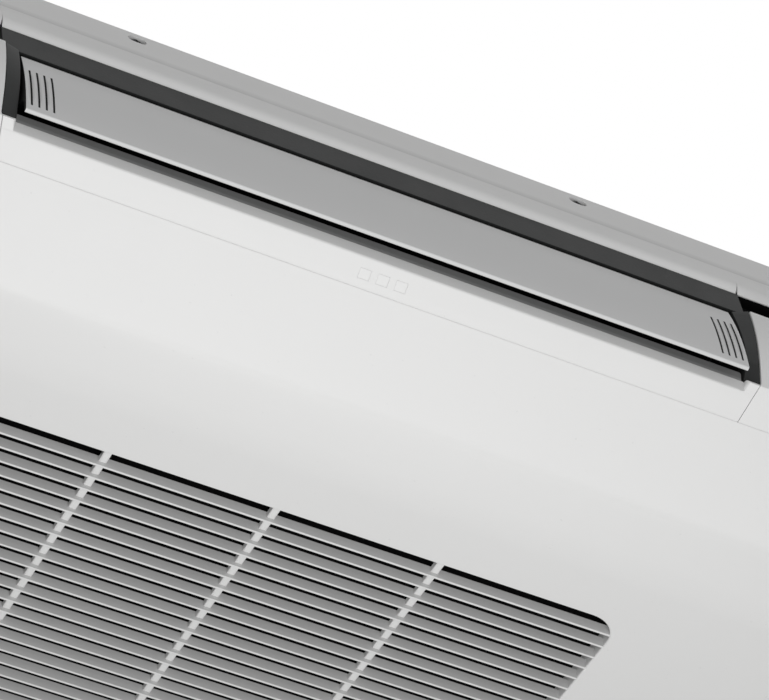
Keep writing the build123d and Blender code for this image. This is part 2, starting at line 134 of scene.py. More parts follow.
class Graph:
    """Node tree of one material."""

    def __init__(self, name: str) -> None:
        """Start an empty material.

        Args:
            name: Name of the new material.
        """
        self.material = bpy.data.materials.new(name)
        self.material.use_nodes = True
        self.tree = self.material.node_tree
        self.tree.nodes.clear()

    def node(self, kind: str, settings: Optional[Mapping[str, Any]] = None,
             inputs: Optional[Mapping[Union[int, str], Any]] = None,
             output: Union[int, str] = 0) -> Signal:
        """Add one node, set it up, and link or fill its sockets.

        Args:
            kind: Node type.
            settings: Properties of the node.
            inputs: Values or Signals by socket name or place.
            output: Output to return, by place or name.

        Returns:
            The chosen output as a Signal.
        """
        made = self.tree.nodes.new(kind)
        for key, value in (settings or {}).items():
            setattr(made, key, value)
        for key, value in (inputs or {}).items():
            self._feed(made.inputs[key], value)
        return Signal(self, made.outputs[output] if made.outputs else made.inputs[0])

    def _feed(self, socket: bpy.types.NodeSocket, value: Any) -> None:
        """Link a Signal to a socket, or write a plain value on it.

        Args:
            socket: Input socket.
            value: Signal, number or colour.
        """
        if isinstance(value, Signal):
            self.tree.links.new(value.socket, socket)
        elif socket.type == "RGBA":
            socket.default_value = (*value, 1.0)
        else:
            socket.default_value = value

    def place(self, stretch: tuple[float, float, float] = (1.0, 1.0, 1.0)) -> Signal:
        """Object coordinates in metres, stretched along each axis."""
        spot = self.node("ShaderNodeTexCoord", output="Object")
        return self.node("ShaderNodeMapping", None, {"Vector": spot, "Scale": stretch})

    def axis(self, name: str) -> Signal:
        """One object coordinate, in metres."""
        return self.node("ShaderNodeSeparateXYZ", None, {0: self.place()}, name)

    def noise(self, scale: float, detail: float = 3.0, roughness: float = 0.5,
              stretch: tuple[float, float, float] = (1.0, 1.0, 1.0)) -> Signal:
        """Noise between 0 and 1 with about scale bumps to the metre."""
        return self.node("ShaderNodeTexNoise", None, {"Vector": self.place(stretch), "Scale": scale,
                                                      "Detail": detail, "Roughness": roughness})

    def blend(self, factor: Any, low: Any, high: Any) -> Signal:
        """Colour between low and high."""
        return self.node("ShaderNodeMix", {"data_type": "RGBA"}, {0: factor, 6: low, 7: high}, 2)

    def bump(self, height: Signal, strength: float, distance: float) -> Signal:
        """Turn a height into a surface normal."""
        return self.node("ShaderNodeBump", None,
                         {"Strength": strength, "Distance": distance, "Height": height})

    def surface(self, inputs: Mapping[Union[int, str], Any]) -> bpy.types.Material:
        """Finish with a Principled surface.

        Args:
            inputs: Values or Signals by socket name.

        Returns:
            The finished material.
        """
        shader = self.node("ShaderNodeBsdfPrincipled", None, inputs)
        self.node("ShaderNodeOutputMaterial", None, {0: shader})
        return self.material


def shade_of(colour: Colour, amount: float) -> Colour:
    """Colour times an amount."""
    return (colour[0] * amount, colour[1] * amount, colour[2] * amount)


@dataclass(frozen=True)
class MouldedPlastic:
    """Spark-textured moulded plastic with slow shade drift and a few specks.

    Each of its lines is a band of painted shade or painted highlight: a height where the tint starts, how
    far up it fades, and how dark or light it is.
    """

    name: str
    colour: Colour
    drift: float = 0.03
    roughness: float = 0.42
    grain: float = 1500.0
    grain_depth: float = 0.00003
    grain_strength: float = 0.35
    specks: float = 0.0
    gloss: float = 0.28
    lines: tuple[tuple[float, float, float], ...] = ()
    cloud_scale: float = 2.6
    smudge_scale: float = 34.0
    smudge_gloss: float = 0.14
    speck_scale: float = 420.0
    speck_limit: float = 0.795
    speck_tone: float = 0.62

    def build(self) -> bpy.types.Material:
        """Make the material.

        Returns:
            The finished material.
        """
        graph = Graph(self.name)
        cloud = graph.noise(self.cloud_scale, 4.0)
        smudge = graph.noise(self.smudge_scale, 5.0, 0.62)
        grain = graph.noise(self.grain, 2.0, 0.6)
        tone = graph.blend(cloud * 0.65 + smudge * 0.35, shade_of(self.colour, 1 - self.drift), self.colour)
        dots = (graph.noise(self.speck_scale, 1.0, 0.4) > self.speck_limit) * self.specks
        base = graph.blend(dots, tone, shade_of(self.colour, self.speck_tone))
        # Bands of painted shade or painted highlight, fading upwards from their start.
        for start, reach, amount in self.lines:
            over = graph.axis("Z") - start
            near = (1.0 - over * (1.0 / reach)) * (over > 0.0)
            base = graph.blend(near * (near > 0.0) * (smudge * 0.3 + 0.85), base,
                               shade_of(self.colour, amount))
        return graph.surface({
            "Base Color": base,
            "Roughness": smudge * self.smudge_gloss + (self.roughness - self.smudge_gloss / 2),
            "Normal": graph.bump(grain, self.grain_strength, self.grain_depth),
            "Specular IOR Level": self.gloss,
        })


@dataclass(frozen=True)
class ZincSheet:
    """Galvanised sheet with a soft spangle and rolling streaks."""

    name: str
    colour: Colour = (0.55, 0.57, 0.58)
    spangle_scale: float = 150.0
    streak_scale: float = 14.0

    def build(self) -> bpy.types.Material:
        """Make the material.

        Returns:
            The finished material.
        """
        graph = Graph(self.name)
        cells = graph.node("ShaderNodeTexVoronoi", None,
                           {"Vector": graph.place(), "Scale": self.spangle_scale}, "Color")
        spangle = graph.node("ShaderNodeSeparateColor", None, {0: cells})
        streak = graph.noise(self.streak_scale, 5.0, 0.6, (1.0, 0.12, 1.0))
        base = graph.blend(spangle * 0.45 + streak * 0.55, shade_of(self.colour, 0.78), self.colour)
        return graph.surface({
            "Base Color": base,
            "Metallic": 0.88,
            "Roughness": spangle * 0.14 + streak * 0.1 + 0.32,
            "Normal": graph.bump(streak, 0.25, 0.00005),
        })


@dataclass(frozen=True)
class FinStack:
    """Thin aluminium fins with pressed ripples."""

    name: str
    colour: Colour = (0.72, 0.74, 0.75)
    ripple_pitch: float = 0.0034
    stain_scale: float = 26.0

    def build(self) -> bpy.types.Material:
        """Make the material.

        Returns:
            The finished material.
        """
        graph = Graph(self.name)
        ripple = (graph.axis("Z") * (2.0 * math.pi / self.ripple_pitch)).wave() * 0.5 + 0.5
        stain = graph.noise(self.stain_scale, 4.0)
        base = graph.blend(stain, shade_of(self.colour, 0.8), self.colour)
        return graph.surface({
            "Base Color": base,
            "Metallic": 0.9,
            "Roughness": stain * 0.2 + 0.25,
            "Normal": graph.bump(ripple, 0.5, 0.0003),
        })


@dataclass(frozen=True)
class FilterMesh:
    """Fine woven mesh of a washable filter."""

    name: str
    # Near black: the filter's own dark colour pushed darker as painted shade for the shadowed space behind
    # the grille.
    colour: Colour = (0.0012, 0.0012, 0.0013)
    thread_pitch: float = 0.0016

    def build(self) -> bpy.types.Material:
        """Make the material.

        Returns:
            The finished material.
        """
        graph = Graph(self.name)
        turn = 2.0 * math.pi / self.thread_pitch
        weave = (graph.axis("X") * turn).wave() * (graph.axis("Y") * turn).wave() * 0.5 + 0.5
        base = graph.blend(weave, self.colour, shade_of(self.colour, 2.6))
        return graph.surface({
            "Base Color": base,
            "Roughness": 0.75 - weave * 0.12,
            "Specular IOR Level": 0.05,
            "Normal": graph.bump(weave, 0.7, 0.0003),
        })


@dataclass(frozen=True)
class PlatedSteel:
    """Dull plated steel of small screws."""

    name: str
    colour: Colour = (0.22, 0.22, 0.225)
    wear_scale: float = 900.0

    def build(self) -> bpy.types.Material:
        """Make the material.

        Returns:
            The finished material.
        """
        graph = Graph(self.name)
        worn = graph.noise(self.wear_scale, 3.0)
        return graph.surface({
            "Base Color": graph.blend(worn, shade_of(self.colour, 0.7), self.colour),
            "Metallic": 0.85,
            "Roughness": worn * 0.2 + 0.3,
        })


class Finishes:
    """Every finish of the unit, made once."""

    def __init__(self) -> None:
        """Build the materials."""
        white = (0.80, 0.80, 0.797)
        charcoal = (0.0235, 0.0245, 0.0242)
        # Painted shade: a darker band just above the rim's crease.
        crease_painted_shade = (-0.0332, 0.0085, 0.76)
        # Painted highlight: a lighter band along the rim's rolled foot.
        foot_painted_highlight = (-0.0600, 0.0105, 1.12)
        # Painted highlight: a lighter band along the lip's lower edge.
        lip_painted_highlight = (LIP_FOOT_Z, 0.0042, 2.2)
        made = {
            Slot.CASING_WHITE: MouldedPlastic("white_moulding", white, specks=0.2),
            Slot.OUTLET_DARK: MouldedPlastic("charcoal_moulding", charcoal, 0.16, 0.56, 620.0,
                                             0.00014, 0.55, gloss=0.21),
            Slot.ZINC_STEEL: ZincSheet("zinc_sheet"),
            Slot.COIL_FINS: FinStack("fin_stack"),
            Slot.FILTER_DARK: FilterMesh("filter_mesh"),
            Slot.PAN_FOAM: MouldedPlastic("pan_foam", (0.05, 0.05, 0.05), 0.2, 0.75, 500.0, gloss=0.2),
            Slot.LENS_WHITE: MouldedPlastic("window_white", white, 0.02, 0.34, 800.0, gloss=0.3),
        }
        self.by_slot = {slot: finish.build() for slot, finish in made.items()}
        # The groove linings are charcoal plastic pushed near black: their own dark colour plus painted
        # shadow of the deep groove.
        self.painted_shadow_black = MouldedPlastic("groove_painted_shadow", (0.006, 0.006, 0.006), 0.1, 0.7,
                                           620.0, 0.00012, gloss=0.1).build()
        # The lip is the band's charcoal plastic, painted a lighter grey as painted light where it faces the
        # lamp below, with the painted highlight along its lower edge.
        self.lip_painted_light_grey = MouldedPlastic("lip_painted_light_grey", (0.21, 0.212, 0.212), 0.14, 0.55, 620.0,
                                       0.00014, 0.5, gloss=0.3, lines=(lip_painted_highlight,)).build()
        # Rim white carrying the painted shade above the crease and the painted highlight along the foot.
        self.rim_white_painted_shading = MouldedPlastic("rim_white_painted_shading", white, specks=0.2,
                                        lines=(crease_painted_shade, foot_painted_highlight)).build()
        # The blade is the casing's white plastic, painted darker as painted shade for its forward face that
        # turns away from the lamp below.
        self.blade_painted_shade_white = MouldedPlastic("blade_painted_shade_white", (0.685, 0.687, 0.688), 0.03, 0.38,
                                          1700.0, 0.00002, gloss=0.26).build()
        # Painted shade: the strip's white made darker for the ledge that lies under the flap.
        self.ledge_painted_shade = MouldedPlastic("ledge_painted_shade", (0.68, 0.68, 0.677), 0.05, 0.5,
                                          1500.0, gloss=0.25).build()
        # Painted shade: the grille's white made darker for the slat faces, standing in for the shadow
        # between slats.
        self.slat_painted_shade = MouldedPlastic("slat_painted_shade", (0.56, 0.56, 0.558), 0.05, 0.5,
                                         1500.0, gloss=0.25).build()
        self.screw = PlatedSteel("screw_plating").build()
        self.dark_screw = PlatedSteel("dark_screw", (0.05, 0.05, 0.052)).build()
        self.rubber = MouldedPlastic("grommet_rubber", (0.016, 0.016, 0.017), 0.2, 0.62, 300.0,
                                     0.00008, gloss=0.3).build()

    def of(self, slot: Slot) -> bpy.types.Material:
        """Material of a slot."""
        return self.by_slot[slot]


# Mesh work shared by the sub-assemblies.


class Workpiece:
    """A mesh under work, which becomes one finished piece."""

    def __init__(self, name: str) -> None:
        """Start with an empty mesh.

        Args:
            name: Name of the piece.
        """
        self.name = name
        self.mesh = bmesh.new()

    def copy_node(self, *nodes: str, flat: float = 0.6) -> "Workpiece":
        """Add merged copies of CAD nodes.

        Args:
            nodes: Names of the nodes.
            flat: Angle in degrees under which neighbouring faces are joined.

        Returns:
            The workpiece.
        """
        for node in nodes:
            self.mesh.from_mesh(frame["nodes"][node].data)
        bmesh.ops.remove_doubles(self.mesh, verts=self.mesh.verts, dist=0.002 * MM)
        bmesh.ops.dissolve_limit(self.mesh, angle_limit=math.radians(flat), verts=self.mesh.verts,
                                 edges=self.mesh.edges, use_dissolve_boundaries=False)
        return self

    def slice_at(self, *planes: tuple[str, float], low: float = -math.inf,
                 high: float = math.inf) -> "Workpiece":
        """Cut edge loops into the mesh where it crosses planes.

        Args:
            planes: Axis letter and place in millimetres of each plane.
            low: Height that the middle of each cut face lies above.
            high: Height that it lies below.

        Returns:
            The workpiece.
        """
        for axis, place in planes:
            normal = Vector([float(axis == letter) for letter in "xyz"])
            faces = [f for f in self.mesh.faces if low < spot_of(f).z < high]
            edges = dict.fromkeys(e for f in faces for e in f.edges)
            verts = dict.fromkeys(v for f in faces for v in f.verts)
            bmesh.ops.bisect_plane(self.mesh, geom=[*verts, *edges, *faces], dist=0.001 * MM,
                                   plane_co=normal * place * MM, plane_no=normal)
        return self

    def press_bead(self, low: Sequence[float], high: Sequence[float], outward: Sequence[float],
                   depth: float, slope: float = 1.6) -> "Workpiece":
        """Press a shallow sloped bead into a flat sheet.

        Args:
            low: Lowest corner of a block round the bead's faces, in millimetres.
            high: Highest corner.
            outward: Direction that the faces look in.
            depth: How far the bead goes in.
            slope: Width of its sloped sides.

        Returns:
            The workpiece.
        """
        facing = Vector(outward)
        cuts = [("xyz"[k], value) for k in range(3) if abs(facing[k]) < 0.5 for value in (low[k], high[k])]
        self.slice_at(*cuts)
        chosen = [f for f in self.mesh.faces if f.normal.dot(facing) > FACING
                  and all(a < c < b for a, c, b in zip(low, spot_of(f), high))]
        bmesh.ops.inset_region(self.mesh, faces=chosen, use_even_offset=True, use_boundary=True,
                               thickness=slope * MM, depth=-depth * MM)
        return self

    def add_screw(self, centre: Sequence[float], axis: Sequence[float], radius: float, height: float,
                  cross: float = 0.9, arm: float = 0.75, dome: float = 0.22, cells: int = 7) -> None:
        """Add a cross-head screw.

        Args:
            centre: Middle of the seat, in millimetres.
            axis: Direction that the head looks in.
            radius: Radius of the head.
            height: Height of the head.
            cross: Depth of the cross recess.
            arm: Reach of the recess's arms, as a share of the radius.
            dome: Rise of the head's middle over its rim, as a share of the radius.
            cells: Cells across the head, of which the recess takes the middle row each way.
        """
        turn = Vector((0, 0, 1)).rotation_difference(Vector(axis)).to_matrix().to_4x4()
        grid = bmesh.ops.create_grid(self.mesh, x_segments=cells, y_segments=cells, size=1.0)["verts"]
        faces = list({f for v in grid for f in v.link_faces})
        spots = {f: f.calc_center_median() for f in faces}
        arms = [f for f, spot in spots.items()
                if min(abs(spot.x), abs(spot.y)) < 1 / cells and spot.length < arm]
        sunk = bmesh.ops.extrude_face_region(self.mesh, geom=arms)["geom"]
        bmesh.ops.delete(self.mesh, geom=arms, context="FACES_ONLY")
        floor = [g for g in sunk if isinstance(g, bmesh.types.BMVert)]
        bmesh.ops.translate(self.mesh, verts=floor, vec=(0, 0, -cross / radius))
        loose = {f for v in {*grid, *floor} for f in v.link_faces}
        border = [e for e in {e for f in loose for e in f.edges} if e.is_boundary]
        wall = bmesh.ops.extrude_edge_only(self.mesh, edges=border)["geom"]
        foot = [g for g in wall if isinstance(g, bmesh.types.BMVert)]
        bmesh.ops.translate(self.mesh, verts=foot, vec=(0, 0, -height / radius))
        rim = [g for g in wall if isinstance(g, bmesh.types.BMEdge) and g.is_boundary]
        bmesh.ops.contextual_create(self.mesh, geom=rim)
        every = list({*grid, *floor, *foot})
        for vert in every:
            x, y = vert.co.x, vert.co.y
            bulge = dome * (1 - min(1.0, (x * x + y * y) / 2)) if vert.co.z > -0.01 else 0.0
            vert.co.x, vert.co.y = x * math.sqrt(1 - y * y / 2), y * math.sqrt(1 - x * x / 2)
            vert.co.z += bulge
        seat = Matrix.Translation(Vector(centre) * MM) @ turn
        lift = Matrix.Translation((0, 0, height / radius))
        bmesh.ops.transform(self.mesh, matrix=seat @ Matrix.Scale(radius * MM, 4) @ lift, verts=every)
        bmesh.ops.recalc_face_normals(self.mesh, faces=list({f for v in every for f in v.link_faces}))

    def add_ring(self, centre: Sequence[float], axis: Sequence[float], radius: float,
                 thickness: float, steps: int = 48, sides: int = 12) -> None:
        """Add a round ring, such as a grommet.

        Args:
            centre: Middle of the ring, in millimetres.
            axis: Direction of its axis.
            radius: Radius of the middle of its body.
            thickness: Radius of its body.
            steps: Steps round the ring.
            sides: Sides of its body.
        """
        turn = Vector((0, 0, 1)).rotation_difference(Vector(axis)).to_matrix().to_4x4()
        place = Matrix.Translation((radius * MM, 0, 0)) @ Matrix.Rotation(math.pi / 2, 4, "X")
        ring = bmesh.ops.create_circle(self.mesh, segments=sides, radius=thickness * MM,
                                       matrix=place)["verts"]
        edges = list({e for v in ring for e in v.link_edges})
        bmesh.ops.spin(self.mesh, geom=[*ring, *edges], cent=(0, 0, 0), axis=(0, 0, 1),
                       angle=2 * math.pi, steps=steps, use_merge=True)
        reach = thickness * 1.1 * MM
        body = [v for v in self.mesh.verts if abs(v.co.z) < reach
                and abs(math.hypot(v.co.x, v.co.y) - radius * MM) < reach]
        bmesh.ops.transform(self.mesh, matrix=Matrix.Translation(Vector(centre) * MM) @ turn, verts=body)
        bmesh.ops.recalc_face_normals(self.mesh, faces=list({f for v in body for f in v.link_faces}))

    def round_edges(self, radius: float, segments: int = 3, angle: float = 50.0,
                    test: Optional[EdgeTest] = None) -> "Workpiece":
        """Round sharp edges.

        Args:
            radius: Radius in millimetres.
            segments: Steps of the rounding.
            angle: Smallest angle between the faces, in degrees.
            test: Which of those edges to take, or None for all.

        Returns:
            The workpiece.
        """
        limit = math.radians(angle)
        edges = [e for e in self.mesh.edges if e.is_manifold and e.calc_face_angle(0.0) > limit
                 and (test is None or test(e))]
        bmesh.ops.bevel(self.mesh, geom=edges, offset=radius * MM, offset_type="OFFSET",
                        segments=segments, profile=0.5, affect="EDGES", clamp_overlap=True, material=-1)
        return self

    def finish(self, body: Body, slot: Slot, materials: Sequence[bpy.types.Material],
               stands_for: Iterable[str] = (), sharp: float = 42.0) -> bpy.types.Object:
        """Turn the mesh into a dressed piece that rides on a body.

        Args:
            body: Body that the piece rides on.
            slot: Material slot of the record; not used.
            materials: Materials by face index.
            stands_for: CAD nodes that the piece replaces.
            sharp: Angle in degrees over which an edge stays crisp.

        Returns:
            The new object.
        """
        data = bpy.data.meshes.new(self.name)
        self.mesh.to_mesh(data)
        self.mesh.free()
        for material in materials:
            data.materials.append(material)
        for face in data.polygons:
            face.use_smooth = True
        data.set_sharp_from_angle(angle=math.radians(sharp))
        piece = bpy.data.objects.new(self.name, data)
        bpy.context.scene.collection.objects.link(piece)
        weighted = piece.modifiers.new("even_shading", "WEIGHTED_NORMAL")
        weighted.keep_sharp = True
        weighted.weight = 70
        if stands_for:
            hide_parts(*stands_for)
        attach(piece, body.value)
        LOG.info("%s: %d faces, rides on %s", self.name, len(data.polygons), body.value)
        return piece


def middle_of(edge: bmesh.types.BMEdge) -> Vector:
    """Middle of an edge, in millimetres."""
    return (edge.verts[0].co + edge.verts[1].co) / (2 * MM)


def run_of(edge: bmesh.types.BMEdge) -> Vector:
    """How far an edge runs along each axis, in millimetres."""
    first, second = (v.co for v in edge.verts)
    return Vector([abs(a - b) / MM for a, b in zip(first, second)])


def spot_of(face: bmesh.types.BMFace) -> Vector:
    """Middle of a face, in millimetres."""
    return face.calc_center_median() / MM


def slot_of(node: str) -> Slot:
    """Material slot that the record gives a node."""
    rows = {row["node"]: row["material_slot"] for row in frame["record"]["subparts"]}
    return Slot(rows[node])


# Sub-assemblies.


@dataclass
class TopRim:
    """Long leaning trim above the outlet with its ends, creased, rolled under and screwed on."""

    finishes: Finishes
    split_x: float = 252.0
    slit_top_z: float = -48.0
    slit_width: float = 1.5
    slit_corner: float = 1.5
    seam_half: float = 0.9
    seam_overlap: float = 2.5
    crease: tuple[float, float] = (-293.0, -33.0)
    foot: tuple[float, float] = (-303.0, -59.0)
    top_y: float = -280.0
    ridge_height: float = 0.55
    ridge_above: float = 11.0
    ridge_below: float = 7.0
    ridge_steps: int = 4
    bend_top_z: float = -36.0
    bend_straight: float = 10.0
    bend_lean: float = 0.125
    bend_curl: float = 0.039
    bend_steps: int = 12
    half_width: float = 435.0
    corner_centre: tuple[float, float] = (390.0, -280.5)
    corner_radius: float = 45.0
    skin_reach: float = 0.6
    upright_radius: float = 7.0
    edge_radius: float = 0.6
    screw_x: tuple[float, float] = (-159.3, 147.3)
    screw_spot: tuple[float, float] = (-283.3, -8.4)
    screw_seat: float = 3.4
    screw_radius: float = 3.7
    screw_height: float = 1.7

    def draw_seam(self, work: Workpiece) -> None:
        """Close the split above the slit, and open the slit downwards.

        Args:
            work: The trim.
        """
        depth = self.slit_top_z - self.foot[1]
        for vert in work.mesh.verts:
            x, z = abs(vert.co.x) / MM, vert.co.z / MM
            if abs(x - self.split_x) < self.seam_half:
                share = max(0.0, (self.slit_top_z - z) / depth)
                half = self.slit_width / 2 * share
                vert.co.x = math.copysign((self.split_x + (half if x > self.split_x else -half)) * MM,
                                          vert.co.x)

    def at_seam(self, edge: bmesh.types.BMEdge) -> bool:
        """Tell whether an edge lies on the closed part of the split.

        Args:
            edge: Edge of the trim.

        Returns:
            True for such an edge.
        """
        spot = middle_of(edge)
        near = abs(abs(spot.x) - self.split_x) < self.seam_half
        return near and spot.z > self.slit_top_z - self.seam_overlap

    def at_slit_corner(self, edge: bmesh.types.BMEdge) -> bool:
        """Tell whether an edge is the lower corner of the slit, on the side of the long trim.

        Args:
            edge: Edge of the trim.

        Returns:
            True for such an edge.
        """
        spot = middle_of(edge)
        beside = self.split_x - 2.0 < abs(spot.x) < self.split_x
        return spot.z < self.foot[1] + NEAR and beside and run_of(edge).y > 0.3

    def at_upright(self, edge: bmesh.types.BMEdge) -> bool:
        """Tell whether an edge stands upright at the trim's front corner.

        Args:
            edge: Edge of the trim.

        Returns:
            True for such an edge.
        """
        spot = middle_of(edge)
        outside = self.half_width - 8 < abs(spot.x) and max(self.depth_of(spot)) < 0.8
        return outside and run_of(edge).z > 0.3 * edge.calc_length() / MM

    def depth_of(self, spot: Vector) -> tuple[float, float]:
        """How far a point lies behind the front facet and behind the rounded side.

        Args:
            spot: The point, in millimetres.

        Returns:
            Both depths, in millimetres.
        """
        lean = (self.foot[0] - self.crease[0]) / (self.foot[1] - self.crease[1])
        front = spot.y - (self.crease[0] + lean * (spot.z - self.crease[1]))
        over_x = abs(spot.x) - self.corner_centre[0]
        over_y = self.corner_centre[1] - spot.y
        if over_x > 0 and over_y > 0:
            return front, self.corner_radius - math.hypot(over_x, over_y)
        return front, self.half_width - abs(spot.x)

    def bend_of(self, z: float) -> float:
        """How far the lower facet is bent inwards at a height, in millimetres."""
        down = max(0.0, self.bend_top_z - z)
        return self.bend_curl * max(0.0, down - self.bend_straight) ** 2 - self.bend_lean * down

    def roll_under(self, work: Workpiece) -> None:
        """Swell the lower facet a little and roll it under along the foot.

        Args:
            work: The trim.
        """
        for vert in work.mesh.verts:
            spot = vert.co / MM
            bend = self.bend_of(spot.z)
            front, side = self.depth_of(spot)
            if front < self.skin_reach:
                vert.co.y += bend * MM
            if side < self.skin_reach:
                vert.co.x -= math.copysign(max(0.0, bend) * MM, vert.co.x)

    def facing(self, spot: Vector) -> float:
        """How much the trim's plan outline faces the front at a point.

        Args:
            spot: The point, in millimetres.

        Returns:
            Share from 0 to 1.
        """
        over_x = max(0.0, abs(spot.x) - self.corner_centre[0])
        over_y = max(0.0, self.corner_centre[1] - spot.y)
        return over_y / math.hypot(over_x, over_y) if over_y > 0 else float(over_x == 0)

    def raise_ridge(self, work: Workpiece) -> None:
        """Raise a soft ridge along the crease between the two facets.

        Args:
            work: The trim.
        """
        for vert in work.mesh.verts:
            spot = vert.co / MM
            above = spot.z - self.crease[1]
            share = 1 - (above / self.ridge_above if above > 0 else -above / self.ridge_below)
            if share > 0 and self.depth_of(spot)[0] < self.skin_reach:
                vert.co.y -= self.ridge_height * share ** 2 * self.facing(spot) * MM

    def screws(self) -> None:
        """Dark cross-head screws inside the two recesses."""
        work = Workpiece("rim_screws")
        outward = Vector((0.0, self.crease[1], self.crease[0] - self.top_y)).normalized()
        outward.z = abs(outward.z)
        for x in self.screw_x:
            seat = Vector((x, *self.screw_spot)) - outward * self.screw_seat
            work.add_screw(seat, outward, self.screw_radius, self.screw_height)
        work.finish(Body.CASING, Slot.ZINC_STEEL, [self.finishes.dark_screw])

    def build(self) -> None:
        """Make the trim and its screws."""
        work = Workpiece("rim_skin").copy_node("top_rim", "rim_end_left", "rim_end_right")
        cuts = [self.slit_top_z, self.crease[1]]
        cuts += [self.crease[1] + k / self.ridge_steps * reach for k in range(1, self.ridge_steps + 1)
                 for reach in (self.ridge_above, -self.ridge_below)]
        step = (self.foot[1] - self.bend_top_z) / self.bend_steps
        cuts += [self.bend_top_z + k * step for k in range(self.bend_steps)]
        work.slice_at(*(("z", cut) for cut in cuts))
        self.draw_seam(work)
        self.roll_under(work)
        self.raise_ridge(work)
        work.round_edges(self.slit_corner, 4, test=self.at_slit_corner)
        work.round_edges(self.upright_radius, 6, test=self.at_upright)
        work.round_edges(self.edge_radius, test=lambda e: not self.at_seam(e))
        # The rim's material carries painted shade above the crease and a painted highlight along the foot.
        work.finish(Body.CASING, Slot.CASING_WHITE, [self.finishes.rim_white_painted_shading],
                    ("top_rim", "rim_end_left", "rim_end_right"))
        self.screws()


@dataclass
class SideCovers:
    """Moulded covers on both sides with curved fronts."""

    finishes: Finishes
    edge_radius: float = 0.6

    def build(self) -> None:
        """Make both covers."""
        for node in ("side_cover_left", "side_cover_right"):
            work = Workpiece(f"{node}_skin").copy_node(node)
            work.round_edges(self.edge_radius)
            work.finish(Body.CASING, Slot.CASING_WHITE, [self.finishes.of(Slot.CASING_WHITE)], (node,))


@dataclass
class OutletFrame:
    """Charcoal band, lip, side frames and groove linings round the outlet."""

    finishes: Finishes
    edge_radius: float = 0.7
    groove_radius: float = 0.4
    moulding_angle: float = 40.0
    lip_end_radius: float = 1.8
    lip_half: float = 242.1
    frame_inner_x: float = 242.5
    frame_front_y: float = -312.0
    frame_top_z: float = -84.6
    frame_low_z: float = -155.0
    top_gap: float = 0.5
    setback_left: float = 2.4
    setback_right: float = 5.0
    setback_height: float = 42.0

    def lip(self) -> None:
        """Lower lip with rounded ends and a soft upper edge."""
        work = Workpiece("outlet_lip_skin").copy_node("outlet_lip")
        work.round_edges(self.lip_end_radius, 5, test=lambda e: run_of(e).y > 1.0
                         and abs(middle_of(e).x) > self.lip_half - NEAR)
        work.round_edges(self.edge_radius)
        # The lip's lighter grey is painted light, and its lighter lower band is a painted highlight.
        work.finish(Body.CASING, Slot.OUTLET_DARK, [self.finishes.lip_painted_light_grey], ("outlet_lip",))

    def draw_back(self, work: Workpiece) -> None:
        """Draw the frame's inner front corner back beside the blade and the lip, and lower its top.

        Args:
            work: One side frame.
        """
        for vert in work.mesh.verts:
            spot = vert.co / MM
            share = 1 - (self.frame_top_z - spot.z) / self.setback_height
            setback = self.setback_right if spot.x > 0 else self.setback_left
            if spot.z < self.frame_low_z and spot.x > 0:
                share = 1.0
            if share > 0 and spot.y < self.frame_front_y and abs(abs(spot.x) - self.frame_inner_x) < 0.3:
                vert.co.y += setback * share * MM
            if spot.z > self.frame_top_z - NEAR:
                vert.co.z -= self.top_gap * MM

    def build(self) -> None:
        """Make each charcoal moulding."""
        charcoal = self.finishes.of(Slot.OUTLET_DARK)
        for node, radius in (("outlet_band", 0.5), ("outlet_side_left", 0.7), ("outlet_side_right", 0.7)):
            work = Workpiece(f"{node}_skin").copy_node(node)
            if node != "outlet_band":
                self.draw_back(work)
            work.round_edges(radius, angle=self.moulding_angle)
            work.finish(Body.CASING, Slot.OUTLET_DARK, [charcoal], (node,))
        # Groove linings take the near-black painted shadow.
        for node in ("groove_channel_left", "groove_channel_right"):
            work = Workpiece(f"{node}_skin").copy_node(node)
            work.round_edges(self.groove_radius, 2)
            work.finish(Body.CASING, Slot.OUTLET_DARK, [self.finishes.painted_shadow_black], (node,))
        self.lip()


